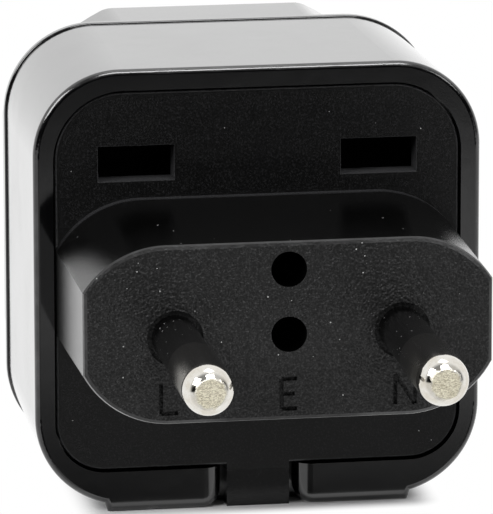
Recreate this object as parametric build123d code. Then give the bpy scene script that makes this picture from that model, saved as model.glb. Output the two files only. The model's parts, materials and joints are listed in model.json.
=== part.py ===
from build123d import *
from math import asin, cos, sin, sqrt
import os

# A two-pin travel adapter, in millimetres.
# X runs across the pins, Y runs from the pin tips back to the socket face, Z is up.
# The origin is on the surface that the adapter stands on, under the middle of its length.

# Plug pins
pin_spacing = 19.0
pin_reach = 19.0
pin_line_drop = 0.6
pin_end_dia = 4.2
pin_dome = 1.5
pin_tip_flat_dia = 2.4
pin_shank_dia = 2.8
sleeve_dia = 3.85
sleeve_length = 10.0
sleeve_seat = 3.6

# Moulded plug body, its heights counted from the line of the pins
plug_stand = 16.0
face_top = 7.83
face_bottom = -7.3
face_end_top = 4.05
face_end_bottom = -2.95
end_arc_radius = 8.2
face_edge_round = 0.35
face_bevel_share = 0.3
base_spread_end = 0.17
base_spread_top = 0.7
plug_wall = 2.2
pin_collar_dia = 4.7
pin_collar_depth = 0.35
pin_boss_dia = 8.0
pin_boss_length = 4.2
dowel_hole_dia = 3.0
dowel_hole_depth = 8.5
dowel_hole_pitch = 5.5
dowel_boss_wall = 0.8

# Marks under the pins and the holes
mark_height = 2.9
mark_middle = -5.05
mark_stroke = 0.35
mark_depth = 0.25
l_mark_width = 1.75
e_mark_width = 1.65
n_mark_width = 2.0
mark_offset = 0.5
e_middle_bar_share = 0.85

# Plug plate: the bands of the rear housing beside, above and below it, and its own sizes
band_side = 1.86
band_top = 1.97
band_bottom = 3.2
plate_top_radius = 5.8
plate_bottom_radius = 4.2
plate_thickness = 2.2
plate_edge_round = 0.2
plate_gap = 0.18
plate_recess = 0.3
window_width = 6.5
window_height = 3.05
window_x = 10.4
window_z = 11.45
tab_width = 5.4
tab_gap = 0.42
tab_root = 1.0
hook_x = 9.0
hook_width = 4.0
hook_thickness = 1.4
hook_barb = 0.8
hook_gap = 0.1
hook_barb_length = 2.0

# Rear housing
housing_width = 38.36
housing_height = 37.9
housing_top_radius = 7.4
housing_bottom_radius = 7.9
housing_depth = 21.0
housing_side_draft = 0.3
housing_edge_round = 0.5
housing_wall = 2.0
notch_corner_radius = 1.6
pad_drop = 0.5
pad_side_margin = 6.18
pad_root = 1.0
ledge_width = 1.2
ledge_depth = 1.4
seam_chamfer = 0.1
rib_reach = 2.2
rib_thickness = 1.4
rib_z = 8.0

# Socket housing
flange_side_step = 0.12
flange_top_step = 0.15
flange_radius = 7.9
flange_thickness = 1.0
flange_front_round = 0.15
flange_back_round = 0.3
flange_backing = 0.8
collar_side_margin = 1.0
collar_top_margin = 0.49
collar_circle_excess = 1.95
collar_corner_round = 2.5
collar_depth = 9.7
collar_edge_round = 1.2
collar_wall = 2.0
face_wall = 2.4
spigot_length = 10.2
spigot_wall = 1.6
spigot_gap = 0.1

# Socket apertures, counted from the line of the pins
round_aperture_dia = 5.4
bar_aperture_width = 7.4
bar_aperture_height = 4.6
bar_aperture_x = 10.9
blade_aperture_width = 2.4
blade_aperture_height = 7.6
blade_aperture_x = 6.35
slant_aperture_x = 6.9
slant_aperture_angle = 30.0
earth_aperture_height = 11.9
earth_aperture_dia = 5.6
earth_slot_width = 4.6
earth_slot_height = 7.2

# Screws between the socket housing and the plug body, set in from the housing's inside
screw_side_margin = 5.86
screw_rise = 5.43
screw_dia = 2.6
screw_pilot_gap = 0.04
screw_tip_room = 1.0
screw_length = 16.0
screw_head_dia = 4.6
screw_head_height = 1.7
screw_slot_depth = 0.9
screw_slot_width = 0.8
screw_boss_dia = 5.5
screw_boss_length = 12.0
screw_post_dia = 7.4
screw_access_dia = 5.2
screw_seat_depth = 12.2
screw_clearance = 0.15

# Contact carrier
carrier_thickness = 2.0
carrier_gap = 0.3
pocket_wall = 0.8
pocket_gap = 0.3
barrier_thickness = 1.5
barrier_height = 10.0
barrier_gap = 1.0

# Contacts, straps and rivets
pocket_side_gap = 0.21
contact_thickness = 0.6
contact_height = 7.4
contact_pinch = 3.4
contact_mouth = 5.8
contact_mouth_gap = 0.8
contact_pinch_share = 0.62
clip_thickness = 0.45
clip_depth = 4.0
clip_reach = 0.7
clip_gap = 0.01
strap_width = 5.2
strap_thickness = 0.8
strap_rise = 3.8
strap_foot = 2.6
washer_dia = 6.4
washer_thickness = 0.5
tail_head_dia = 4.8
tail_head_height = 0.9
tail_head_taper = 0.7
rivet_dia = 2.4
rivet_head_dia = 3.6
rivet_head_height = 0.8

# Allowances of the model itself: how far a cut runs past the face that it opens, how deep
# an added feature starts inside what carries it, and how near counts as touching
cut_past = 1.0
root_depth = 0.5
touch = 0.01

# Depths along Y, worked out from the sizes above
total_length = (pin_reach + plug_stand - plate_recess + housing_depth
                + flange_thickness + collar_depth)
y_tip = -total_length / 2
y_face = y_tip + pin_reach
y_plate = y_face + plug_stand
y_plate_back = y_plate + plate_thickness
y_rim = y_plate - plate_recess
y_back = y_rim + housing_depth
y_flange = y_back + flange_thickness
y_end = y_flange + collar_depth
y_face_inside = y_end - face_wall
y_sleeve_end = y_face - sleeve_length
y_boss_back = y_face + plug_wall + pin_boss_length
y_carrier_back = y_back - spigot_length
y_carrier = y_carrier_back - carrier_thickness
y_contact_base = y_carrier_back + contact_thickness
y_mouth = y_face_inside - contact_mouth_gap
y_pinch = y_carrier_back + (y_mouth - y_carrier_back) * contact_pinch_share
y_screw_seat = y_end - screw_seat_depth
y_screw_boss = y_plate_back + screw_boss_length

# Heights and places shared by several pieces
pin_x = pin_spacing / 2
housing_middle = pad_drop + housing_height / 2
pin_height = housing_middle - pin_line_drop
plate_half_width = housing_width / 2 - band_side
plate_top = housing_height / 2 + pin_line_drop - band_top
plate_bottom = band_bottom + pin_line_drop - housing_height / 2
face_half_width = plate_half_width - base_spread_end
pad_half_width = housing_width / 2 - pad_side_margin
cavity_half_width = housing_width / 2 - housing_side_draft - housing_wall
cavity_top = pad_drop + housing_height - housing_wall
cavity_bottom = pad_drop + housing_wall
cavity_top_radius = housing_top_radius - housing_wall
cavity_bottom_radius = housing_bottom_radius - housing_wall
screw_x = cavity_half_width - screw_side_margin
screw_z = cavity_bottom + screw_rise - pin_height
flange_width = housing_width - 2 * flange_side_step
flange_height = housing_height + 2 * flange_top_step
collar_half_width = flange_width / 2 - collar_side_margin
collar_half_height = flange_height / 2 - collar_top_margin
collar_radius = collar_half_height + collar_circle_excess
pocket_outer_x = cavity_half_width - spigot_gap - spigot_wall - pocket_side_gap
contact_outer_x = pocket_outer_x - pocket_wall - pocket_gap - clip_thickness
contact_width = 2 * (contact_outer_x - pin_x)
contact_inner_height = contact_height / 2 + pocket_gap


def plane_at(depth):
    """Plane across the object at one depth, seen from the pin side."""
    return Plane(origin=(0, depth, 0), x_dir=(1, 0, 0), z_dir=(0, -1, 0))


def prism(sketch, depth_from, depth_to):
    """Solid with one outline that runs between two depths."""
    return extrude(plane_at(depth_from) * sketch, amount=depth_from - depth_to)


def block(x_from, x_to, y_from, y_to, z_from, z_to):
    """Square-cornered solid between three pairs of limits."""
    middle = ((x_from + x_to) / 2, (y_from + y_to) / 2, (z_from + z_to) / 2)
    return Pos(*middle) * Box(x_to - x_from, y_to - y_from, z_to - z_from)


def rod(x, z, diameter, depth_from, depth_to):
    """Round bar along Y."""
    return prism(Pos(x, z) * Circle(diameter / 2), depth_from, depth_to)


def rounded_outline(half_width, bottom, top, bottom_radius, top_radius):
    """Rectangle on the middle plane with its own corner radius below and above."""
    outline = Pos(0, (bottom + top) / 2) * Rectangle(2 * half_width, top - bottom)
    middle = (bottom + top) / 2
    upper = [v for v in outline.vertices() if v.Y > middle]
    outline = fillet(upper, top_radius)
    lower = [v for v in outline.vertices() if v.Y < bottom + touch]
    return fillet(lower, bottom_radius)


def edges_at_depth(solid, depth):
    """Edges that lie wholly in one plane across the object."""
    found = []
    for edge in solid.edges():
        box = edge.bounding_box()
        if abs(box.min.Y - depth) < touch and abs(box.max.Y - depth) < touch:
            found.append(edge)
    return found


def plug_outline(half_width, top, bottom, end_top, end_bottom, radius):
    """Long outline with short upright ends, joined to its top and bottom by arcs."""
    def shoulder(level, end_level):
        drop = abs(level - end_level)
        run = sqrt(2 * radius * drop - drop**2)
        half_turn = asin(run / radius) / 2
        start_x = half_width - run
        middle_x = start_x + radius * sin(half_turn)
        sink = radius * (1 - cos(half_turn))
        middle_level = level - sink if level > end_level else level + sink
        return start_x, middle_x, middle_level

    top_x, top_mid_x, top_mid = shoulder(top, end_top)
    low_x, low_mid_x, low_mid = shoulder(bottom, end_bottom)
    edges = [
        Line((-half_width, end_bottom), (-half_width, end_top)),
        ThreePointArc((-half_width, end_top), (-top_mid_x, top_mid), (-top_x, top)),
        Line((-top_x, top), (top_x, top)),
        ThreePointArc((top_x, top), (top_mid_x, top_mid), (half_width, end_top)),
        Line((half_width, end_top), (half_width, end_bottom)),
        ThreePointArc((half_width, end_bottom), (low_mid_x, low_mid), (low_x, bottom)),
        Line((low_x, bottom), (-low_x, bottom)),
        ThreePointArc((-low_x, bottom), (-low_mid_x, low_mid), (-half_width, end_bottom)),
    ]
    return Pos(0, pin_height) * make_face(Curve() + edges)


def face_outline(inset):
    """Outline of the plug body at its face, drawn in by an inset."""
    return plug_outline(face_half_width - inset, face_top - inset, face_bottom + inset,
                        face_end_top - inset / 2, face_end_bottom + inset / 2,
                        end_arc_radius - inset)


def base_outline(inset):
    """Outline of the plug body where it meets the plate, drawn in by an inset."""
    return plug_outline(face_half_width + base_spread_end - inset,
                        face_top + base_spread_top - inset,
                        face_bottom - base_spread_top + inset,
                        face_end_top + base_spread_end - inset / 2,
                        face_end_bottom - base_spread_end + inset / 2,
                        end_arc_radius - inset)


def flared(front, front_depth, back, back_depth):
    """Solid with straight sides between two outlines."""
    return loft([plane_at(front_depth) * front, plane_at(back_depth) * back], ruled=True)


def make_hump():
    """Outside of the plug body, its front edge eased in two narrow bevels."""
    outer_bevel = face_edge_round * face_bevel_share
    y_sides = y_face + face_edge_round
    y_bevels = y_face + outer_bevel
    hump = flared(face_outline(0), y_sides, base_outline(0), y_plate + plate_thickness / 2)
    hump += flared(face_outline(outer_bevel), y_bevels, face_outline(0), y_sides)
    return hump + flared(face_outline(face_edge_round), y_face,
                         face_outline(outer_bevel), y_bevels)


def bar_between(start, end, stroke):
    """Flat bar of one stroke's width between two points."""
    run_x = end[0] - start[0]
    run_z = end[1] - start[1]
    length = sqrt(run_x**2 + run_z**2)
    across = (-run_z / length * stroke / 2, run_x / length * stroke / 2)
    corners = [
        (start[0] + across[0], start[1] + across[1]),
        (start[0] - across[0], start[1] - across[1]),
        (end[0] - across[0], end[1] - across[1]),
        (end[0] + across[0], end[1] + across[1]),
    ]
    return make_face(Polyline(*corners, close=True))


def mark_sketch(x, width, bars):
    """One engraved letter made of straight bars, given in shares of its width and height."""
    low = pin_height + mark_middle - mark_height / 2 + mark_stroke / 2
    high = low + mark_height - mark_stroke
    left = x - width / 2 + mark_stroke / 2
    right = x + width / 2 - mark_stroke / 2
    shapes = []
    for (ax, az), (bx, bz) in bars:
        start = (left + ax * (right - left), low + az * (high - low))
        end = (left + bx * (right - left), low + bz * (high - low))
        shapes.append(bar_between(start, end, mark_stroke))
    return shapes


def marks():
    """Terminal letters L, E and N, as shallow cuts in the plug face."""
    l_bars = [((0, 0), (0, 1)), ((0, 0), (1, 0))]
    e_bars = [((0, 0), (0, 1)), ((0, 0), (1, 0)), ((0, 1), (1, 1)),
              ((0, 0.5), (e_middle_bar_share, 0.5))]
    n_bars = [((0, 0), (0, 1)), ((1, 0), (1, 1)), ((0, 1), (1, 0))]
    shapes = mark_sketch(-pin_x - mark_offset, l_mark_width, l_bars)
    shapes += mark_sketch(0, e_mark_width, e_bars)
    shapes += mark_sketch(pin_x + mark_offset / 2, n_mark_width, n_bars)
    return [prism(shape, y_face - cut_past, y_face + mark_depth) for shape in shapes]


def plate_outline(grow=0.0):
    """Outline of the plug plate, or of the opening that it sits in."""
    return rounded_outline(plate_half_width + grow,
                           pin_height + plate_bottom - grow,
                           pin_height + plate_top + grow,
                           plate_bottom_radius + grow,
                           plate_top_radius + grow)


def plug_hooks():
    """Snap hooks behind the plate, above its windows, that catch the housing's ledge."""
    hook_top = pin_height + plate_top - ledge_width - hook_gap
    barb_from = y_plate_back + ledge_depth + hook_gap
    barb_to = barb_from + hook_barb_length
    solids = []
    for side in (-1, 1):
        low_x = side * hook_x - hook_width / 2
        high_x = side * hook_x + hook_width / 2
        solids.append(block(low_x, high_x, y_plate_back - root_depth, barb_to,
                            hook_top - hook_thickness, hook_top))
        solids.append(block(low_x, high_x, barb_from, barb_to,
                            hook_top - hook_thickness, hook_top + hook_barb))
    return solids


def make_plug_body():
    plate = prism(plate_outline(), y_plate, y_plate_back)
    plate = fillet(edges_at_depth(plate, y_plate), plate_edge_round)
    tab = block(-tab_width / 2, tab_width / 2, y_plate, y_plate_back,
                0, pin_height + plate_bottom + tab_root)
    body = plate + make_hump() + tab
    body -= flared(face_outline(plug_wall), y_face + plug_wall,
                   base_outline(plug_wall), y_plate_back + root_depth)
    for side in (-1, 1):
        body += rod(side * pin_x, pin_height, pin_boss_dia, y_face + plug_wall / 2, y_boss_back)
        body += rod(side * screw_x, pin_height + screw_z, screw_boss_dia,
                    y_plate_back - root_depth, y_screw_boss)
    for level in (0, dowel_hole_pitch):
        body += rod(0, pin_height + level, dowel_hole_dia + 2 * dowel_boss_wall,
                    y_face + plug_wall / 2, y_face + dowel_hole_depth + dowel_boss_wall)
    for hook in plug_hooks():
        body += hook
    for level in (0, dowel_hole_pitch):
        body -= rod(0, pin_height + level, dowel_hole_dia,
                    y_face - cut_past, y_face + dowel_hole_depth)
    for side in (-1, 1):
        body -= rod(side * pin_x, pin_height, pin_collar_dia,
                    y_face - cut_past, y_face + pin_collar_depth)
        body -= rod(side * pin_x, pin_height, sleeve_dia, y_face - cut_past, y_face + sleeve_seat)
        body -= rod(side * pin_x, pin_height, pin_shank_dia, y_face, y_boss_back + cut_past)
        body -= rod(side * screw_x, pin_height + screw_z, screw_dia + 2 * screw_pilot_gap,
                    y_screw_seat - screw_length - screw_tip_room, y_screw_boss + cut_past)
        body -= block(side * window_x - window_width / 2, side * window_x + window_width / 2,
                      y_plate - cut_past, y_plate_back + cut_past,
                      pin_height + window_z - window_height / 2,
                      pin_height + window_z + window_height / 2)
    for mark in marks():
        body -= mark
    return body


def housing_section(draft, bottom_radius, top_radius):
    """Outline of the rear housing, its sides drawn in by the draft."""
    return rounded_outline(housing_width / 2 - draft, pad_drop, pad_drop + housing_height,
                           bottom_radius, top_radius)


def cavity_outline(inset=0.0):
    """Inner outline of the rear housing behind its ledge."""
    return rounded_outline(cavity_half_width - inset, cavity_bottom + inset, cavity_top - inset,
                           cavity_bottom_radius - inset, cavity_top_radius - inset)


def make_rear_housing():
    front = housing_section(0, housing_bottom_radius, housing_top_radius)
    back_radius = flange_radius - flange_top_step
    back = housing_section(housing_side_draft, back_radius, back_radius)
    shell = flared(front, y_rim, back, y_back)
    pad = make_face(Polyline((-pad_half_width, 0), (pad_half_width, 0),
                             (pad_half_width + pad_drop, pad_drop + pad_root),
                             (-pad_half_width - pad_drop, pad_drop + pad_root), close=True))
    shell += prism(pad, y_rim, y_back)
    shell = fillet(edges_at_depth(shell, y_rim), housing_edge_round)
    shell = chamfer(edges_at_depth(shell, y_back), seam_chamfer)
    shell -= prism(plate_outline(plate_gap), y_rim - cut_past, y_plate_back)
    shell -= prism(plate_outline(-ledge_width), y_rim - cut_past, y_plate_back + ledge_depth)
    shell -= prism(cavity_outline(), y_plate_back + ledge_depth, y_back + cut_past)
    notch_half = tab_width / 2 + tab_gap
    shell -= block(-notch_half, notch_half, y_rim - cut_past, y_plate_back,
                   -cut_past, pin_height + plate_bottom + tab_root)
    corners = []
    for edge in shell.edges():
        box = edge.bounding_box()
        at_side = abs(abs(edge.position_at(0.5).X) - notch_half) < touch
        if at_side and box.max.Z < touch and box.max.Y - box.min.Y > plate_recess:
            corners.append(edge)
    shell = fillet(corners, notch_corner_radius)
    for side in (-1, 1):
        for level in (-1, 1):
            wall = side * (cavity_half_width + root_depth)
            tip = side * (cavity_half_width - rib_reach)
            middle = housing_middle + level * rib_z
            shell += block(min(wall, tip), max(wall, tip), y_plate_back + ledge_depth - root_depth,
                           y_carrier, middle - rib_thickness / 2, middle + rib_thickness / 2)
    return shell


def collar_outline(inset=0.0):
    """Circle clipped by four flats, with its corners eased."""
    disc = Circle(collar_radius - inset)
    clip = Rectangle(2 * (collar_half_width - inset), 2 * (collar_half_height - inset))
    shape = disc & clip
    shape = fillet(shape.vertices(), collar_corner_round)
    return Pos(0, housing_middle) * shape


def live_side_apertures(side):
    """Openings in the socket face for one line pin of each common kind."""
    slant = Rot(0, 0, side * slant_aperture_angle)
    blade = Rectangle(blade_aperture_width, blade_aperture_height)
    shapes = [
        Pos(side * pin_x, 0) * Circle(round_aperture_dia / 2),
        Pos(side * bar_aperture_x, 0) * Rectangle(bar_aperture_width, bar_aperture_height),
        Pos(side * blade_aperture_x, 0) * blade,
        Pos(side * slant_aperture_x, 0) * slant * blade,
    ]
    return [Pos(0, pin_height) * shape for shape in shapes]


def earth_apertures():
    """Opening in the socket face above the line pins."""
    shapes = [Circle(earth_aperture_dia / 2), Rectangle(earth_slot_width, earth_slot_height)]
    return [Pos(0, pin_height + earth_aperture_height) * shape for shape in shapes]


def flange_outline():
    return Pos(0, housing_middle) * RectangleRounded(flange_width, flange_height, flange_radius)


def make_socket_housing():
    flange = prism(flange_outline(), y_back, y_flange)
    flange = fillet(edges_at_depth(flange, y_back), flange_front_round)
    flange = fillet(edges_at_depth(flange, y_flange), flange_back_round)
    collar = prism(collar_outline(), y_flange - root_depth, y_end)
    collar = fillet(edges_at_depth(collar, y_end), collar_edge_round)
    spigot = prism(cavity_outline(spigot_gap), y_carrier_back, y_back + flange_thickness / 2)
    body = flange + collar + spigot
    body -= prism(cavity_outline(spigot_gap + spigot_wall),
                  y_carrier_back - cut_past, y_back - flange_backing)
    body -= prism(collar_outline(collar_wall) & cavity_outline(spigot_gap + spigot_wall),
                  y_back - flange_backing - root_depth, y_face_inside)
    for side in (-1, 1):
        body += rod(side * screw_x, pin_height + screw_z, screw_post_dia,
                    y_screw_boss, y_end - face_wall / 2)
    for shape in live_side_apertures(-1) + live_side_apertures(1) + earth_apertures():
        body -= prism(shape, y_face_inside - cut_past, y_end + cut_past)
    for side in (-1, 1):
        body -= rod(side * screw_x, pin_height + screw_z, screw_access_dia,
                    y_screw_seat, y_end + cut_past)
        body -= rod(side * screw_x, pin_height + screw_z, screw_dia + 2 * screw_clearance,
                    y_screw_boss - cut_past, y_screw_seat + cut_past)
    return body


def make_pin(side):
    """Solid pin with a domed end, a shank in its sleeve and a riveted tail."""
    radius = pin_end_dia / 2
    flat = pin_tip_flat_dia / 2
    shank = pin_shank_dia / 2
    tail = tail_head_dia / 2
    y_tail = y_boss_back + washer_thickness + strap_thickness
    dome_radius = ((radius - flat)**2 + pin_dome**2) / (2 * (radius - flat))
    half_turn = asin(pin_dome / dome_radius) / 2
    shoulder = (radius - dome_radius * (1 - cos(half_turn)),
                y_tip + pin_dome - dome_radius * sin(half_turn))
    profile = [
        Line((0, y_tip), (flat, y_tip)),
        ThreePointArc((flat, y_tip), shoulder, (radius, y_tip + pin_dome)),
        Polyline((radius, y_tip + pin_dome), (radius, y_sleeve_end), (shank, y_sleeve_end),
                 (shank, y_tail), (tail, y_tail), (tail * tail_head_taper, y_tail + tail_head_height),
                 (0, y_tail + tail_head_height), (0, y_tip)),
    ]
    turned = revolve(make_face(Curve() + profile), Axis.Y)
    return Pos(side * pin_x, 0, pin_height) * turned


def make_sleeve(side):
    """Insulating sleeve, seated in the plug body and against the pin's shoulder."""
    sleeve = rod(side * pin_x, pin_height, sleeve_dia, y_sleeve_end, y_face + sleeve_seat)
    return sleeve - rod(side * pin_x, pin_height, pin_shank_dia, y_sleeve_end - cut_past,
                        y_face + sleeve_seat + cut_past)


def make_washer(side):
    """Flat ring between the plug body's boss and the strap."""
    back = y_boss_back + washer_thickness
    ring = rod(side * pin_x, pin_height, washer_dia, y_boss_back, back)
    return ring - rod(side * pin_x, pin_height, pin_shank_dia,
                      y_boss_back - cut_past, back + cut_past)


def make_strap(side):
    """Bent strip from the pin's tail to the contact's base."""
    start = y_boss_back + washer_thickness
    low = pin_height - strap_foot
    high = pin_height + strap_rise
    left = side * pin_x - strap_width / 2
    right = side * pin_x + strap_width / 2
    strap = block(left, right, start, y_carrier, high - strap_thickness, high)
    strap += block(left, right, start, start + strap_thickness, low, high)
    strap += block(left, right, y_carrier - strap_thickness, y_carrier, low, high)
    strap -= rod(side * pin_x, pin_height, pin_shank_dia,
                 start - cut_past, start + strap_thickness + cut_past)
    return strap - rod(side * pin_x, pin_height, rivet_dia,
                       y_carrier - strap_thickness - cut_past, y_carrier + cut_past)


def leaf_height(depth):
    """Distance from the pin's line to the outside of a contact's leaf."""
    if depth < y_pinch:
        share = (depth - y_contact_base) / (y_pinch - y_contact_base)
        start, end = contact_height / 2, contact_pinch / 2 + contact_thickness
    else:
        share = (depth - y_pinch) / (y_mouth - y_pinch)
        start, end = contact_pinch / 2, contact_mouth / 2
        start, end = start + contact_thickness, end + contact_thickness
    return start + share * (end - start)


def make_contact(side):
    """Pressed contact: a base and two spring leaves that pinch the plug's pin."""
    left = side * pin_x - contact_width / 2
    side_plane = Plane(origin=(left, 0, pin_height), x_dir=(0, 1, 0), z_dir=(1, 0, 0))
    base_middle = (y_carrier_back + y_contact_base) / 2
    base = Pos(base_middle, 0) * Rectangle(contact_thickness, contact_height)
    contact = extrude(side_plane * base, amount=contact_width)
    for sign in (-1, 1):
        outside = [(y, sign * leaf_height(y)) for y in (y_contact_base, y_pinch, y_mouth)]
        inside = [(y, z - sign * contact_thickness) for y, z in reversed(outside)]
        leaf = make_face(Polyline(*outside, *inside, close=True))
        contact += extrude(side_plane * leaf, amount=contact_width)
    return contact - rod(side * pin_x, pin_height, rivet_dia,
                         y_carrier_back - cut_past, y_contact_base + cut_past)


def make_clip(side):
    """Steel clip that presses a contact's leaves together at their pinch."""
    clip_front = y_pinch - clip_depth / 2
    clip_back = y_pinch + clip_depth / 2
    inner = max(leaf_height(clip_front), leaf_height(clip_back)) + clip_gap
    arm_x = contact_outer_x - contact_width * clip_reach
    outer_limits = sorted((side * arm_x, side * (contact_outer_x + clip_thickness)))
    inner_limits = sorted((side * (arm_x - cut_past), side * contact_outer_x))
    clip = block(*outer_limits, clip_front, clip_back,
                 pin_height - inner - clip_thickness, pin_height + inner + clip_thickness)
    return clip - block(*inner_limits, clip_front - cut_past, clip_back + cut_past,
                        pin_height - inner, pin_height + inner)


def make_rivet(side):
    """Rivet through the strap, the carrier and the contact's base."""
    front = y_carrier - strap_thickness
    rivet = rod(side * pin_x, pin_height, rivet_dia, front, y_contact_base)
    rivet += rod(side * pin_x, pin_height, rivet_head_dia, front - rivet_head_height, front)
    return rivet + rod(side * pin_x, pin_height, rivet_head_dia,
                       y_contact_base, y_contact_base + rivet_head_height)


def make_contact_carrier():
    """Moulded plate with a pocket round each contact and a barrier between the straps."""
    carrier = prism(cavity_outline(carrier_gap), y_carrier, y_carrier_back)
    inner_x = pin_x - contact_width / 2 - pocket_gap
    inner_z = contact_inner_height
    for side in (-1, 1):
        wall_x = sorted((side * (inner_x - pocket_wall), side * pocket_outer_x))
        pocket_x = sorted((side * inner_x, side * (pocket_outer_x - pocket_wall)))
        carrier += block(*wall_x, y_carrier, y_face_inside,
                         pin_height - inner_z - pocket_wall, pin_height + inner_z + pocket_wall)
        carrier -= block(*pocket_x, y_carrier_back, y_face_inside + cut_past,
                         pin_height - inner_z, pin_height + inner_z)
        carrier -= rod(side * screw_x, pin_height + screw_z,
                       screw_post_dia + 2 * carrier_gap,
                       y_carrier - cut_past, y_face_inside + cut_past)
        carrier -= rod(side * pin_x, pin_height, rivet_dia,
                       y_carrier - cut_past, y_carrier_back + cut_past)
    y_barrier = y_face + dowel_hole_depth + dowel_boss_wall + barrier_gap
    carrier += block(-barrier_thickness / 2, barrier_thickness / 2,
                     y_barrier, y_carrier + root_depth,
                     pin_height - barrier_height / 2, pin_height + barrier_height / 2)
    return carrier


def make_screw(side):
    """Slotted screw, its head in the socket housing's post."""
    x = side * screw_x
    z = pin_height + screw_z
    head_back = y_screw_seat + screw_head_height
    screw = rod(x, z, screw_dia, y_screw_seat - screw_length, y_screw_seat)
    screw += rod(x, z, screw_head_dia, y_screw_seat, head_back)
    return screw - block(x - screw_head_dia, x + screw_head_dia, head_back - screw_slot_depth,
                         head_back + cut_past, z - screw_slot_width / 2, z + screw_slot_width / 2)


def make_parts():
    """Every piece of the adapter, by name."""
    parts = {
        "rear_housing": make_rear_housing(),
        "plug_body": make_plug_body(),
        "socket_housing": make_socket_housing(),
        "contact_carrier": make_contact_carrier(),
    }
    for line, side in (("live", -1), ("neutral", 1)):
        parts[line + "_pin"] = make_pin(side)
        parts[line + "_pin_sleeve"] = make_sleeve(side)
        parts[line + "_pin_washer"] = make_washer(side)
        parts[line + "_strap"] = make_strap(side)
        parts[line + "_rivet"] = make_rivet(side)
        parts[line + "_contact"] = make_contact(side)
        parts[line + "_contact_clip"] = make_clip(side)
    parts["left_screw"] = make_screw(-1)
    parts["right_screw"] = make_screw(1)
    return parts


os.makedirs("parts", exist_ok=True)
for name, solid in make_parts().items():
    export_step(solid, "parts/" + name + ".step")
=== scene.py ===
import json
import math

import bpy
from mathutils import Matrix, Vector


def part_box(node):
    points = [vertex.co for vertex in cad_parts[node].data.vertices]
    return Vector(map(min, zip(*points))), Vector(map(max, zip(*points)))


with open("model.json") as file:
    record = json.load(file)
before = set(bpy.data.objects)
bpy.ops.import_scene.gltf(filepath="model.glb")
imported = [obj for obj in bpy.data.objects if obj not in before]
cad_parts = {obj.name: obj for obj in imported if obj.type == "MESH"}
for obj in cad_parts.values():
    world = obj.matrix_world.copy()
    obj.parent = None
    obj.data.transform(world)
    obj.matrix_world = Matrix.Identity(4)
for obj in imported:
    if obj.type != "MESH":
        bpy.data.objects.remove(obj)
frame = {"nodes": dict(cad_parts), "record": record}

# The looks of a two-pin travel adapter. All lengths are in metres, in the frame of the solids:
# X runs across the pins, Y from the pin tips back to the socket face, and Z is up.
MM = 0.001

# Sizes of the solids that the frame's boxes don't give, with the windows' places from the pins
WINDOW_X = 10.4 * MM
WINDOW_RISE = 11.45 * MM
WINDOW_HALF_WIDTH = 3.25 * MM
WINDOW_HALF_HEIGHT = 1.525 * MM
PLATE_RECESS = 0.3 * MM
PAD_HALF_WIDTH = 13 * MM

# Camera, fitted to edges of the object in the photograph
CAMERA_YAW = math.radians(9.21)
CAMERA_ELEVATION = math.radians(12.807)
CAMERA_ROLL = math.radians(-0.088)
CAMERA_SIDE = -3.562 * MM
CAMERA_RISE = 6.671 * MM
CAMERA_DISTANCE = 493.13 * MM
CAMERA_LENS_MM = 420.2
CAMERA_SENSOR_MM = 36.0
CAMERA_CLIP_START = 0.01
CAMERA_CLIP_END = 20.0

# Floor, and how far outside the housing's footprint it fades to plain white
FLOOR_FRONT = -1.5 * MM
FLOOR_BACK = 0.9
FLOOR_SIDE = 0.7
FLOOR_COLOUR = (0.93, 0.93, 0.935, 1.0)
FLOOR_FADE_START = 0.0
FLOOR_FADE_END = 3 * MM

# Levels of the dark side of the room by the height of the direction, from low to high: a
# pale table edge, a dark band, the lit wall, a dark band and the room above
FRONT_LOW, FRONT_HIGH = -0.60, 0.60
FRONT_BANDS = ((-0.60, 0.90), (-0.50, 0.90), (-0.42, 0.02), (-0.252, 0.00), (-0.236, 0.80),
               (-0.216, 0.80), (-0.200, 0.05), (-0.185, 0.00), (0.30, 0.02), (0.60, 0.45))

# Ranges of direction, as parts of a unit vector, over which the room's level changes: across
# the bands, at the pale left and right of them, at the top of those sides and towards the back
BAND_X = (0.10, 0.20)
BAND_FACTORS = (0.6, 1.4)
SIDE_LEFT_X = (-0.46, -0.28)
SIDE_RIGHT_X = (0.50, 0.68)
SIDE_TOP_Z = (-0.16, -0.06)
SIDE_LEVEL = 0.8
BACK_Y = (-0.35, 0.05)
BACK_LEVEL = 1.0

# Lamps, all aimed at the middle of the object: name, place, width, height and brightness
LAMP_TARGET = (0.0, 0.0, 0.02)
LAMPS = (("overhead_softbox", (0.05, 0.05, 0.70), 0.35, 0.30, 1.0),
         ("key_softbox", (-0.51, -0.29, 0.40), 0.34, 0.34, 7.5),
         ("front_softbox", (0.08, -0.40, 0.74), 0.40, 0.26, 9.0),
         ("right_softbox", (0.50, -0.48, 0.34), 0.24, 0.24, 3.0))

# Refractive index of every plastic
PLASTIC_IOR = 1.5

# Each pair from here on is the start and the end of a smooth step. Plug body: how far behind
# its face the face's grain ends, which is deeper than the letters' floors, and how far in front
# of the plate its finish and the painted highlight line on top of the block begin and end
FACE_GRAIN_END = (0.3 * MM, 0.6 * MM)
PLATE_FINISH_START = (0.3 * MM, 0.1 * MM)
BASE_HIGHLIGHT_START = (1.1 * MM, 0.5 * MM)
BASE_HIGHLIGHT_END = (0.10 * MM, 0.02 * MM)

# Parts of the unit normal, along Y and upward, at which a surface counts as facing that way
FACE_TURN = (0.90, 0.98)
UPWARD_TURN = (0.3, 0.9)

# Heights at which the tab's finish gives way to the plate's, distances from a window's edge
# over which its painted highlight fades, and places across at which the sheen on the block's
# walls begins
TAB_TO_PLATE_Z = (2.8 * MM, 3.4 * MM)
WINDOW_HIGHLIGHT_LINE = (0.02 * MM, 0.07 * MM)
SHEEN_X = (5 * MM, 7 * MM)
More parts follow.
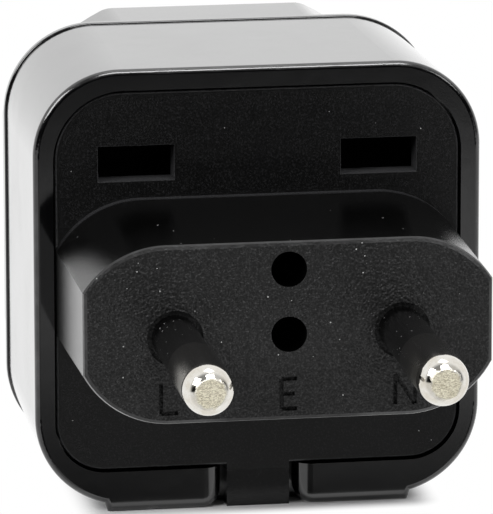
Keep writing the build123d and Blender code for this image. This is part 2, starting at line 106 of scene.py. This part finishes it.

# Pins: radius of the scuffed tip before noise narrows it, and how far behind the tip each
# finish, and the left flank's painted reflection streak, ends or begins
SCUFF_RADIUS = 1.35 * MM
SCUFF_FADE = 0.3 * MM
SCUFF_DEPTH = (0.12 * MM, 0.3 * MM)
SHANK_START = (1.6 * MM, 2.2 * MM)
ROUGH_STREAK_END = (2.5 * MM, 8.5 * MM)

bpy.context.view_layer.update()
RIM_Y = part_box("rear_housing")[0].y
PLATE_Y = RIM_Y + PLATE_RECESS
FACE_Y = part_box("plug_body")[0].y
TIP_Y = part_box("live_pin")[0].y
PIN_PLACES = {}
for pin_name in ("live_pin", "neutral_pin"):
    pin_low, pin_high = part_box(pin_name)
    PIN_PLACES[pin_name] = (pin_low + pin_high) / 2
PIN_Z = PIN_PLACES["live_pin"].z
CAMERA_TARGET = Vector((CAMERA_SIDE, FACE_Y, PIN_Z + CAMERA_RISE))


class Nodes:
    """A node tree that is written as calls, each of which returns an output socket."""

    def __init__(self, tree):
        self.tree = tree
        tree.nodes.clear()

    def add(self, kind, inputs=None, output=0, **settings):
        node = self.tree.nodes.new(kind)
        for name, value in settings.items():
            setattr(node, name, value)
        for key, value in (inputs or {}).items():
            self.feed(node.inputs[key], value)
        return node.outputs[output] if node.outputs else None

    def feed(self, socket, value):
        if isinstance(value, bpy.types.NodeSocket):
            self.tree.links.new(value, socket)
        else:
            socket.default_value = value

    def math(self, operation, first, second=0.0):
        return self.add("ShaderNodeMath", {0: first, 1: second}, operation=operation)

    def product(self, first, second):
        return self.math("MULTIPLY", first, second)

    def unsigned(self, value):
        """Value without its sign."""
        return self.math("ABSOLUTE", value)

    def ramp(self, value, low, high, to_low=0.0, to_high=1.0):
        """Smooth step of a value from one range to another."""
        return self.add("ShaderNodeMapRange",
                        {"Value": value, "From Min": low, "From Max": high,
                         "To Min": to_low, "To Max": to_high},
                        interpolation_type="SMOOTHSTEP")

    def fall(self, value, low, high):
        """Smooth step from one down to zero."""
        return self.ramp(value, low, high, to_low=1.0, to_high=0.0)

    def bands(self, value, low, high, stops):
        """Level of a value that runs through (value, level) stops."""
        node = self.tree.nodes.new("ShaderNodeValToRGB")
        self.feed(node.inputs[0], self.add("ShaderNodeMapRange", {
            "Value": value, "From Min": low, "From Max": high}))
        elements = node.color_ramp.elements
        while len(elements) < len(stops):
            elements.new(0.5)
        for element, (place, level) in zip(elements, stops):
            element.position = (place - low) / (high - low)
            element.color = (level, level, level, 1.0)
        return node.outputs[0]

    def position(self):
        return self.add("ShaderNodeTexCoord", output="Object")

    def parts(self, vector):
        """The three parts of a vector."""
        node = self.tree.nodes.new("ShaderNodeSeparateXYZ")
        self.tree.links.new(vector, node.inputs[0])
        return node.outputs

    def normal(self):
        return self.add("ShaderNodeNewGeometry", output="Normal")

    def noise(self, cell, detail=2.0, roughness=0.5, stretch=(1.0, 1.0, 1.0)):
        """Noise with features of about one cell's length, in metres."""
        place = self.add("ShaderNodeMapping", {"Vector": self.position(), "Scale": stretch})
        return self.add("ShaderNodeTexNoise",
                        {"Vector": place, "Scale": 1.0 / cell, "Detail": detail,
                         "Roughness": roughness})

    def cells(self, cell, feature="SMOOTH_F1", output="Distance", place=None):
        """Distance to the nearest of scattered points, about one cell apart."""
        return self.add("ShaderNodeTexVoronoi",
                        {"Vector": place or self.position(), "Scale": 1.0 / cell},
                        output=output, feature=feature)

    def wandering(self, cell, reach):
        """Position that is pushed about by noise, so that a pattern on it loses its regularity."""
        push = self.add("ShaderNodeTexNoise", {"Vector": self.position(), "Scale": 1.0 / cell},
                        output="Color")
        scaled = self.add("ShaderNodeVectorMath", {0: push, "Scale": reach}, operation="SCALE")
        return self.add("ShaderNodeVectorMath", {0: self.position(), 1: scaled},
                        operation="ADD")

    def mix(self, factor, first, second):
        """Mix of two colours."""
        node = self.tree.nodes.new("ShaderNodeMix")
        node.data_type = "RGBA"
        self.feed(node.inputs[0], factor)
        self.feed(node.inputs[6], first)
        self.feed(node.inputs[7], second)
        return node.outputs[2]

    def blend(self, factor, first, second):
        """Mix of two numbers."""
        node = self.tree.nodes.new("ShaderNodeMix")
        self.feed(node.inputs[0], factor)
        self.feed(node.inputs[2], first)
        self.feed(node.inputs[3], second)
        return node.outputs[0]

    def bump(self, height, depth, after=None):
        inputs = {"Height": height, "Distance": depth}
        if after is not None:
            inputs["Normal"] = after
        return self.add("ShaderNodeBump", inputs)

    def surface(self, **inputs):
        """Principled surface, with its inputs named by their first words."""
        names = {"colour": "Base Color", "roughness": "Roughness", "metallic": "Metallic",
                 "normal": "Normal", "coat": "Coat Weight", "coat_roughness": "Coat Roughness",
                 "ior": "IOR"}
        shader = self.add("ShaderNodeBsdfPrincipled",
                          {names[key]: value for key, value in inputs.items()})
        self.add("ShaderNodeOutputMaterial", {"Surface": shader})


def material(name):
    """New empty material and its nodes."""
    made = bpy.data.materials.new(name)
    made.use_nodes = True
    return made, Nodes(made.node_tree)


def grey(level, tint=0.0):
    """Neutral colour, a little bluer for a positive tint."""
    return (level, level, level * (1 + tint), 1.0)


def dust_mask(n, spacing, size, share):
    """Sparse specks: one point in each cell, and only a share of the cells."""
    warp = n.noise(0.25 * MM, detail=1.0)
    near = n.cells(spacing, feature="F1")
    pick = n.parts(n.cells(spacing, feature="F1", output="Color"))[0]
    radius = n.product(warp, 2.0 * size / spacing)
    speck = n.math("LESS_THAN", near, radius)
    return n.product(speck, n.math("LESS_THAN", pick, share))


def rounded_edge_mask(n, low=0.25, high=0.55):
    """One on the narrow roundings between faces across Y and faces along it."""
    flat_low, flat_high = 0.93, 0.99
    facing = n.unsigned(n.parts(n.normal())[1])
    return n.product(n.ramp(facing, low, high), n.fall(facing, flat_low, flat_high))


def window_highlight_mask(n):
    """A painted highlight along the edges of the plate's two windows, strongest along the lower
    edge.
    """
    upper_strength = 0.25
    place = n.parts(n.position())
    side = n.math("SUBTRACT", n.unsigned(place[0]), WINDOW_X)
    past_side = n.math("SUBTRACT", n.unsigned(side), WINDOW_HALF_WIDTH)
    rise = n.math("SUBTRACT", place[2], PIN_Z + WINDOW_RISE)
    past_end = n.math("SUBTRACT", n.unsigned(rise), WINDOW_HALF_HEIGHT)
    gap = n.math("MAXIMUM", past_side, past_end)
    lower = n.ramp(rise, -WINDOW_HALF_HEIGHT, WINDOW_HALF_HEIGHT, 1.0, upper_strength)
    return n.product(n.fall(n.unsigned(gap), *WINDOW_HIGHLIGHT_LINE), lower)


def gloss_plastic():
    """Glossy black moulded plastic with faint flow marks, a little dust, and lighter edges that
    are partly wear, partly a painted highlight.
    """
    made, n = material("gloss_black_plastic")
    wear_and_highlight_colour, dust_colour = grey(0.05, 0.05), grey(0.45)
    wear_and_highlight_share, dust_share, worn_rough, fine_rough = 0.5, 0.8, 0.15, 0.05
    # Patches of the roundings are painted lighter: partly wear, partly a painted highlight
    wear_and_highlight = n.product(rounded_edge_mask(n), n.ramp(n.noise(1.3 * MM, detail=3.0), 0.45, 0.7))
    dust = dust_mask(n, spacing=5.0 * MM, size=0.05 * MM, share=0.2)
    colour = n.mix(n.noise(6 * MM, detail=3.0), grey(0.0012, 0.1), grey(0.0022, 0.15))
    colour = n.mix(n.product(wear_and_highlight, wear_and_highlight_share), colour, wear_and_highlight_colour)
    colour = n.mix(n.product(dust, dust_share), colour, dust_colour)
    smear = n.ramp(n.noise(9 * MM, detail=4.0, roughness=0.6), 0.35, 0.75,
                   to_low=0.08, to_high=0.16)
    rough = n.math("ADD", smear, n.product(n.noise(0.2 * MM), fine_rough))
    rough = n.math("ADD", rough, n.product(wear_and_highlight, worn_rough))
    waves = n.bump(n.noise(4 * MM), depth=0.012 * MM)
    grain = n.bump(n.noise(0.12 * MM), depth=0.0012 * MM, after=waves)
    n.surface(colour=colour, roughness=rough, normal=grain, ior=PLASTIC_IOR, coat=1.0,
              coat_roughness=0.07)
    return made


def plug_zones(n):
    """Masks of the plug's flat face, its plate, the block's sides and what faces upward."""
    depth = n.parts(n.position())[1]
    face_start, face_end = FACE_GRAIN_END
    plate_start, plate_end = PLATE_FINISH_START
    near_face = n.fall(depth, FACE_Y + face_start, FACE_Y + face_end)
    facing = n.ramp(n.unsigned(n.parts(n.normal())[1]), *FACE_TURN)
    on_face = n.product(near_face, facing)
    on_plate = n.ramp(depth, PLATE_Y - plate_start, PLATE_Y - plate_end)
    on_side = n.math("SUBTRACT", 1.0, n.math("MAXIMUM", on_face, on_plate))
    upward = n.ramp(n.parts(n.normal())[2], *UPWARD_TURN)
    return on_face, on_plate, on_side, upward


def base_highlight_mask(n, upward):
    """A painted highlight line on top of the block, along the plate."""
    strength = 0.3
    depth = n.parts(n.position())[1]
    rise_from, rise_to = BASE_HIGHLIGHT_START
    fall_from, fall_to = BASE_HIGHLIGHT_END
    rising = n.ramp(depth, PLATE_Y - rise_from, PLATE_Y - rise_to)
    falling = n.fall(depth, PLATE_Y - fall_from, PLATE_Y - fall_to)
    return n.product(n.product(rising, falling), n.product(upward, strength))


def plug_colour(n, on_face, on_plate, on_side, upward):
    """Black with clouds, painted highlights on edges, the block's base and the windows' rims, worn
    edges, flecks and dust.
    """
    edge_highlight_and_wear_colour, window_highlight_colour, dust_colour = grey(0.16, 0.04), grey(0.16, 0.05), grey(0.55)
    wear_and_highlight_share, window_highlight_share, dust_share = 0.08, 0.3, 0.9
    roundings = rounded_edge_mask(n, 0.15, 0.4)
    wear_and_highlight = n.product(roundings, n.ramp(n.noise(0.9 * MM, detail=4.0, roughness=0.6), 0.4, 0.62))
    cloud = n.noise(5 * MM, detail=4.0, roughness=0.6)
    colour = n.mix(cloud, grey(0.0008, 0.05), grey(0.0016, 0.05))
    colour = n.mix(on_side, colour, grey(0.0004))
    # Painted highlight along the base of the block's top
    colour = n.mix(base_highlight_mask(n, upward), colour, grey(0.09, 0.06))
    # Painted highlight on the roundings, strongest on the plate's edges
    edge_highlight_share = n.blend(on_plate, 0.02, 0.35)
    colour = n.mix(n.product(roundings, edge_highlight_share), colour, edge_highlight_and_wear_colour)
    # Patches of the roundings are lighter still: partly wear, partly a painted highlight
    colour = n.mix(n.product(wear_and_highlight, wear_and_highlight_share), colour, edge_highlight_and_wear_colour)
    # Painted highlight along the windows' edges
    colour = n.mix(n.product(window_highlight_mask(n), window_highlight_share), colour, window_highlight_colour)
    flecks = n.ramp(n.noise(0.16 * MM, roughness=0.6), 0.5, 0.68)
    flecks = n.product(flecks, n.math("SUBTRACT", 1.0, on_side))
    fleck_colour = n.mix(on_face, grey(0.014, 0.05), grey(0.026, 0.03))
    colour = n.mix(flecks, colour, fleck_colour)
    dust = dust_mask(n, spacing=1.0 * MM, size=0.05 * MM, share=n.blend(on_face, 0.2, 0.6))
    return n.mix(n.product(dust, dust_share), colour, dust_colour)


def plug_relief(n, on_face, on_plate):
    """Pebbles on the face and a fine grain everywhere, deepest on the plate."""
    pebble_depth = 0.14 * MM
    pebbles = n.cells(0.22 * MM, place=n.wandering(0.5 * MM, reach=0.25 * MM))
    coarse = n.bump(pebbles, depth=n.product(on_face, pebble_depth))
    fine = n.noise(0.09 * MM, detail=3.0, roughness=0.6)
    return n.bump(fine, depth=n.blend(on_plate, 0.012 * MM, 0.03 * MM), after=coarse)


def plug_roughness(n, on_face, on_plate, upward):
    """Roughest on the face, then the plate and the block's walls, then the block's top and tab."""
    face_rough, uneven_rough = 0.50, 0.06
    height = n.parts(n.position())[2]
    block_rough = n.blend(upward, 0.28, 0.14)
    plate_rough = n.ramp(height, *TAB_TO_PLATE_Z, to_low=0.12, to_high=0.30)
    rough = n.blend(on_face, n.blend(on_plate, block_rough, plate_rough), face_rough)
    return n.math("ADD", rough, n.product(n.noise(2.5 * MM, detail=3.0), uneven_rough))


def matte_plastic():
    """Pebbled black plastic: coarse on the plug's face, finer on its sides and its plate."""
    made, n = material("pebbled_black_plastic")
    on_face, on_plate, on_side, upward = plug_zones(n)
    outer = n.ramp(n.unsigned(n.parts(n.position())[0]), *SHEEN_X)
    sheen = n.product(n.product(on_side, outer), n.fall(upward, 0.0, 0.5))
    n.surface(colour=plug_colour(n, on_face, on_plate, on_side, upward),
              roughness=plug_roughness(n, on_face, on_plate, upward),
              normal=plug_relief(n, on_face, on_plate),
              ior=PLASTIC_IOR, coat=sheen, coat_roughness=0.25)
    return made


def sleeve_plastic():
    """Satin black insulation with dust and fine lengthwise scuffs."""
    made, n = material("satin_black_sleeve")
    dust_colour, dust_share = grey(0.5), 0.9
    dust = dust_mask(n, spacing=0.6 * MM, size=0.05 * MM, share=0.8)
    scuff = n.noise(0.25 * MM, detail=3.0, roughness=0.6, stretch=(1.0, 0.12, 1.0))
    colour = n.mix(scuff, grey(0.0008), grey(0.002))
    colour = n.mix(n.product(dust, dust_share), colour, dust_colour)
    n.surface(colour=colour, roughness=n.ramp(scuff, 0.3, 0.7, to_low=0.16, to_high=0.26),
              normal=n.bump(scuff, depth=0.003 * MM), ior=PLASTIC_IOR)
    return made


def pin_radius(n):
    """Distance from the axis of the nearer pin. The pins mirror each other across X = 0."""
    place = n.parts(n.position())
    pin = PIN_PLACES["neutral_pin"]
    off_x = n.math("SUBTRACT", n.unsigned(place[0]), pin.x)
    off_z = n.math("SUBTRACT", place[2], pin.z)
    return n.math("SQRT", n.math("ADD", n.product(off_x, off_x), n.product(off_z, off_z)))


def pin_nickel():
    """Nickel: polished dome with turning marks, rough beige tip, and a shank painted darker as a
    dim reflection, rougher on its left flank, where a lighter painted reflection streak runs.
    """
    made, n = material("nickel_plate")
    bright, tarnished = (0.80, 0.78, 0.73, 1.0), (0.70, 0.66, 0.58, 1.0)
    beige_dark, beige_light = (0.55, 0.49, 0.36, 1.0), (1.0, 0.97, 0.84, 1.0)
    shank_painted_dark, shank_painted_streak = (0.30, 0.29, 0.28, 1.0), (0.36, 0.35, 0.32, 1.0)
    tip_rough, ring_width = 0.75, 0.05 * MM
    behind_tip = n.math("SUBTRACT", n.parts(n.position())[1], TIP_Y)
    radius = pin_radius(n)
    ragged = n.math("ADD", radius, n.product(n.noise(0.5 * MM, detail=3.0), 0.5 * MM))
    patch = n.fall(ragged, SCUFF_RADIUS, SCUFF_RADIUS + SCUFF_FADE)
    tip = n.product(n.fall(behind_tip, *SCUFF_DEPTH), patch)
    # Behind the dome the nickel is painted darker, a painted dim reflection
    on_shank = n.ramp(behind_tip, *SHANK_START)
    # The left flank is rougher, and painted lighter as a painted reflection streak
    leftward = n.product(n.parts(n.normal())[0], -1.0)
    flank = n.math("ADD", leftward,
                   n.product(n.noise(0.2 * MM, detail=3.0, roughness=0.6), 0.4))
    rough_painted_streak = n.product(n.ramp(flank, 0.75, 1.15), n.fall(behind_tip, *ROUGH_STREAK_END))
    scratches = n.noise(0.16 * MM, detail=5.0, roughness=0.7, stretch=(1.0, 1.0, 3.0))
    tarnish = n.ramp(n.noise(1.2 * MM, detail=4.0, roughness=0.6), 0.35, 0.7)
    colour = n.mix(tarnish, bright, tarnished)
    colour = n.mix(on_shank, colour, n.mix(rough_painted_streak, shank_painted_dark, shank_painted_streak))
    colour = n.mix(tip, colour, n.mix(n.ramp(scratches, 0.35, 0.6), beige_dark, beige_light))
    polish = n.ramp(n.noise(0.6 * MM, detail=3.0), 0.3, 0.7, to_low=0.06, to_high=0.12)
    rough = n.blend(on_shank, polish, n.blend(rough_painted_streak, 0.13, 0.30))
    rings = n.add("ShaderNodeTexNoise", {"W": n.product(radius, 1.0 / ring_width),
                                         "Scale": 1.0, "Detail": 2.0}, noise_dimensions="1D")
    relief = n.bump(rings, depth=n.blend(tip, 0.0008 * MM, 0.0))
    relief = n.bump(scratches, depth=n.blend(tip, 0.0006 * MM, 0.05 * MM), after=relief)
    n.surface(colour=colour, metallic=1.0, roughness=n.blend(tip, rough, tip_rough),
              normal=relief)
    return made


def plain_metal(name, light, dark, rough_low, rough_high, cell):
    """Metal strip or turned piece with stains and fine rubbing."""
    made, n = material(name)
    stain = n.ramp(n.noise(cell, detail=4.0, roughness=0.6), 0.35, 0.7)
    rub = n.noise(0.15 * MM, detail=3.0, stretch=(1.0, 0.2, 1.0))
    n.surface(colour=n.mix(stain, light, dark), metallic=1.0,
              roughness=n.ramp(rub, 0.3, 0.7, rough_low, rough_high),
              normal=n.bump(rub, depth=0.003 * MM))
    return made


def carrier_plastic():
    """Dark grey moulded plastic of the hidden carrier."""
    made, n = material("dark_grey_plastic")
    fine = n.noise(0.15 * MM, detail=3.0)
    n.surface(colour=n.mix(n.noise(3 * MM, detail=3.0), grey(0.03), grey(0.05)),
              roughness=n.ramp(fine, 0.3, 0.7, to_low=0.45, to_high=0.6),
              normal=n.bump(fine, depth=0.006 * MM), ior=PLASTIC_IOR)
    return made


def finish_nodes():
    """Gives each solid the finish of its material slot."""
    finishes = {
        "housing_gloss": gloss_plastic(),
        "plug_matte": matte_plastic(),
        "sleeve_plastic": sleeve_plastic(),
        "carrier_plastic": carrier_plastic(),
        "pin_nickel": pin_nickel(),
        "contact_brass": plain_metal("pressed_brass", (0.78, 0.60, 0.30, 1.0),
                                     (0.55, 0.38, 0.16, 1.0), 0.25, 0.4, 2.5 * MM),
        "spring_steel": plain_metal("spring_steel", (0.56, 0.56, 0.57, 1.0),
                                    (0.42, 0.41, 0.40, 1.0), 0.3, 0.45, 2.0 * MM),
        "screw_steel": plain_metal("zinc_plated_steel", (0.66, 0.66, 0.66, 1.0),
                                   (0.50, 0.49, 0.45, 1.0), 0.28, 0.45, 1.5 * MM),
    }
    for part in frame["record"]["subparts"]:
        for place in frame["nodes"][part["node"]].material_slots:
            place.material = finishes[part["material_slot"]]


def seen_directly(n):
    """One for camera, glossy and transmission rays."""
    node = n.tree.nodes.new("ShaderNodeLightPath")
    seen = n.math("MAXIMUM", node.outputs["Is Camera Ray"], node.outputs["Is Glossy Ray"])
    return n.math("MAXIMUM", seen, node.outputs["Is Transmission Ray"])


def outside_footprint(n):
    """Distance outside the rectangle that the housing's pad stands on."""
    place = n.parts(n.position())
    middle_y = (RIM_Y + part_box("rear_housing")[1].y) / 2
    along = n.unsigned(n.math("SUBTRACT", place[1], middle_y))
    gaps = (n.math("SUBTRACT", n.unsigned(place[0]), PAD_HALF_WIDTH),
            n.math("SUBTRACT", along, middle_y - RIM_Y))
    squares = [n.math("POWER", n.math("MAXIMUM", gap, 0.0), 2.0) for gap in gaps]
    return n.math("SQRT", n.math("ADD", *squares))


def make_floor():
    """Pale floor, which fades to plain white just outside the housing's footprint."""
    corners = [(-FLOOR_SIDE, FLOOR_FRONT), (FLOOR_SIDE, FLOOR_FRONT),
               (FLOOR_SIDE, FLOOR_BACK), (-FLOOR_SIDE, FLOOR_BACK)]
    mesh = bpy.data.meshes.new("floor")
    mesh.from_pydata([(x, y, 0.0) for x, y in corners], [], [(0, 1, 2, 3)])
    floor = bpy.data.objects.new("floor", mesh)
    bpy.context.scene.collection.objects.link(floor)
    made, n = material("pale_floor")
    far = n.ramp(outside_footprint(n), FLOOR_FADE_START, FLOOR_FADE_END)
    paper = n.add("ShaderNodeBsdfDiffuse", {"Color": FLOOR_COLOUR})
    white = n.add("ShaderNodeEmission", {"Color": grey(1.0), "Strength": 1.0})
    mixed = n.add("ShaderNodeMixShader",
                  {0: n.product(far, seen_directly(n)), 1: paper, 2: white})
    n.add("ShaderNodeOutputMaterial", {"Surface": mixed})
    mesh.materials.append(made)


def make_world():
    """White surroundings, dim on the side that the pins point to, where the room was dark."""
    world = bpy.data.worlds.new("studio")
    world.use_nodes = True
    bpy.context.scene.world = world
    n = Nodes(world.node_tree)
    towards = n.parts(n.add("ShaderNodeTexCoord", output="Generated"))
    bands = n.bands(towards[2], FRONT_LOW, FRONT_HIGH, FRONT_BANDS)
    front = n.product(bands, n.ramp(towards[0], *BAND_X, *BAND_FACTORS))
    aside = n.math("MAXIMUM", n.fall(towards[0], *SIDE_LEFT_X),
                   n.ramp(towards[0], *SIDE_RIGHT_X))
    aside = n.product(aside, n.fall(towards[2], *SIDE_TOP_Z))
    front = n.blend(aside, front, SIDE_LEVEL)
    level = n.blend(n.ramp(towards[1], *BACK_Y), front, BACK_LEVEL)
    path = n.tree.nodes.new("ShaderNodeLightPath")
    strength = n.blend(path.outputs["Is Camera Ray"], level, 1.0)
    shader = n.add("ShaderNodeBackground", {"Color": grey(1.0), "Strength": strength})
    n.add("ShaderNodeOutputWorld", {"Surface": shader})


def softbox(name, place, width, height, level):
    """Soft rectangular lamp whose face has one brightness, whatever its size."""
    data = bpy.data.lights.new(name, "AREA")
    data.shape = "RECTANGLE"
    data.size = width
    data.size_y = height
    data.energy = level * math.pi * width * height
    lamp = bpy.data.objects.new(name, data)
    lamp.location = place
    aim = Vector(LAMP_TARGET) - Vector(place)
    lamp.rotation_euler = aim.to_track_quat("-Z", "Y").to_euler()
    bpy.context.scene.collection.objects.link(lamp)


def make_camera():
    """Camera at the photograph's angle, turned by its yaw, elevation and roll."""
    forward = Vector((math.sin(CAMERA_YAW) * math.cos(CAMERA_ELEVATION),
                      math.cos(CAMERA_YAW) * math.cos(CAMERA_ELEVATION),
                      -math.sin(CAMERA_ELEVATION)))
    level_right = Vector((math.cos(CAMERA_YAW), -math.sin(CAMERA_YAW), 0.0))
    level_up = level_right.cross(forward)
    right = math.cos(CAMERA_ROLL) * level_right + math.sin(CAMERA_ROLL) * level_up
    up = math.cos(CAMERA_ROLL) * level_up - math.sin(CAMERA_ROLL) * level_right
    turn = Matrix((right, up, -forward)).transposed().to_4x4()
    place = Matrix.Translation(CAMERA_TARGET - forward * CAMERA_DISTANCE)
    data = bpy.data.cameras.new("camera")
    data.lens = CAMERA_LENS_MM
    data.sensor_width = CAMERA_SENSOR_MM
    data.clip_start = CAMERA_CLIP_START
    data.clip_end = CAMERA_CLIP_END
    camera = bpy.data.objects.new("camera", data)
    camera.matrix_world = place @ turn
    bpy.context.scene.collection.objects.link(camera)
    bpy.context.scene.camera = camera


bpy.context.scene.view_settings.view_transform = "Standard"
finish_nodes()
make_floor()
make_world()
for lamp_settings in LAMPS:
    softbox(*lamp_settings)
make_camera()
